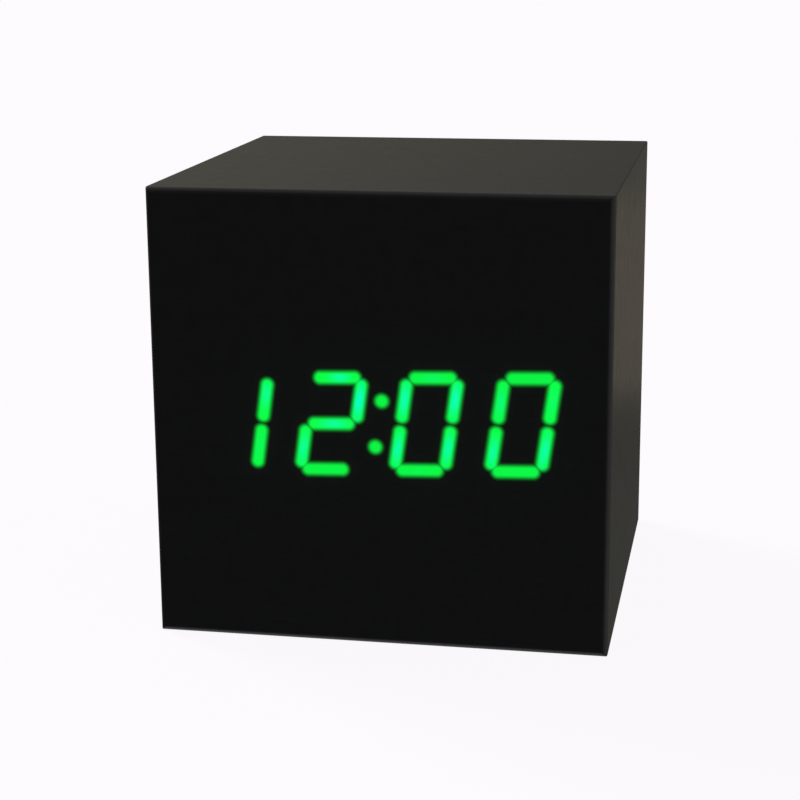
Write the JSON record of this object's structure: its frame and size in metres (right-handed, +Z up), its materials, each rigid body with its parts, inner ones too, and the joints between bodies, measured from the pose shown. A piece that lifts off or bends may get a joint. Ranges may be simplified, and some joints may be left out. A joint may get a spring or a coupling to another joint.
{
  "type": "digital clock",
  "caption": "Cube table clock in black wood-grain film, with green LED time digits that shine through its plain front.",
  "frame": {"origin": "centre of the base, on the surface that the clock stands on", "axes": "+Z up, -Y towards the display, +X to the right of someone who reads the display"},
  "size_m": [0.062, 0.062, 0.062],
  "materials": {
    "wood_grain_film": "satin black PVC film with a faint horizontal wood grain",
    "front_film": "thin black wood-grain film that the display shines through",
    "mdf": "raw medium-density fibreboard",
    "black_mdf": "black-dyed fibreboard",
    "pine": "planed softwood",
    "black_abs": "fine-textured moulded ABS",
    "door_abs": "fine-textured moulded ABS",
    "grey_plastic": "moulded nylon",
    "button_plastic": "smooth moulded ABS",
    "circuit_board": "green solder mask over glass-epoxy board",
    "chip_body": "moulded epoxy",
    "steel": "zinc-plated steel",
    "nickel": "nickel-plated spring steel",
    "can_aluminium": "drawn aluminium can",
    "cell_sleeve": "printed shrink sleeve, plain",
    "segment_resin": "clear epoxy lit green from behind",
    "ribbon": "flat PVC-insulated ribbon",
    "red_wire": "PVC insulation",
    "black_wire": "PVC insulation"
  },
  "bodies": {
    "clock": {"base_film": "wood_grain_film", "battery_spring_1": "nickel", "battery_spring_2": "nickel", "battery_spring_3": "nickel", "battery_tray": "black_abs", "battery_wire_black": "black_wire", "battery_wire_red": "red_wire", "bottom_board": "mdf", "bridge_left": "nickel", "bridge_right": "nickel", "buzzer": "black_abs", "capacitor": "can_aluminium", "cell_1": "cell_sleeve", "cell_2": "cell_sleeve", "cell_3": "cell_sleeve", "control_board": "circuit_board", "control_screw_left": "steel", "control_screw_right": "steel", "controller_chip": "chip_body", "corner_block_left": "pine", "corner_block_right": "pine", "cover_screw_left": "steel", "cover_screw_right": "steel", "crystal": "can_aluminium", "display_board": "circuit_board", "display_screw_1": "steel", "display_screw_2": "steel", "display_screw_3": "steel", "display_screw_4": "steel", "display_spacer_1": "grey_plastic", "display_spacer_2": "grey_plastic", "display_spacer_3": "grey_plastic", "display_spacer_4": "grey_plastic", "down_switch": "grey_plastic", "driver_chip": "chip_body", "front_board": "black_mdf", "front_film": "front_film", "left_board": "mdf", "microphone": "can_aluminium", "power_jack": "black_abs", "power_jack_pin": "nickel", "rear_cover": "black_abs", "reflector_block": "black_abs", "ribbon_cable": "ribbon", "right_board": "mdf", "segment_resin": "segment_resin", "set_switch": "grey_plastic", "terminal_negative": "nickel", "terminal_positive": "nickel", "top_board": "mdf", "up_switch": "grey_plastic", "wrap_film": "wood_grain_film"},
    "set_button_body": {"set_button": "button_plastic", "set_plunger": "button_plastic"},
    "up_button_body": {"up_button": "button_plastic", "up_plunger": "button_plastic"},
    "down_button_body": {"down_button": "button_plastic", "down_plunger": "button_plastic"},
    "door": {"battery_door": "door_abs"}
  },
  "joints": [
    {"name": "set_press", "type": "slide", "parent": "clock", "child": "set_button_body", "axis": [0, -1, 0], "range_m": [0, 0.0004], "stiffness_N_per_m": 1200, "springref_m": -0.0004},
    {"name": "up_press", "type": "slide", "parent": "clock", "child": "up_button_body", "axis": [0, -1, 0], "range_m": [0, 0.0004], "stiffness_N_per_m": 1200, "springref_m": -0.0004},
    {"name": "down_press", "type": "slide", "parent": "clock", "child": "down_button_body", "axis": [0, -1, 0], "range_m": [0, 0.0004], "stiffness_N_per_m": 1200, "springref_m": -0.0004},
    {"name": "battery_door_hinge", "type": "hinge", "parent": "clock", "child": "door", "pos_m": [0, 0.0289, 0.0077], "axis": [-1, 0, 0], "range_deg": [0, 95]}
  ]
}
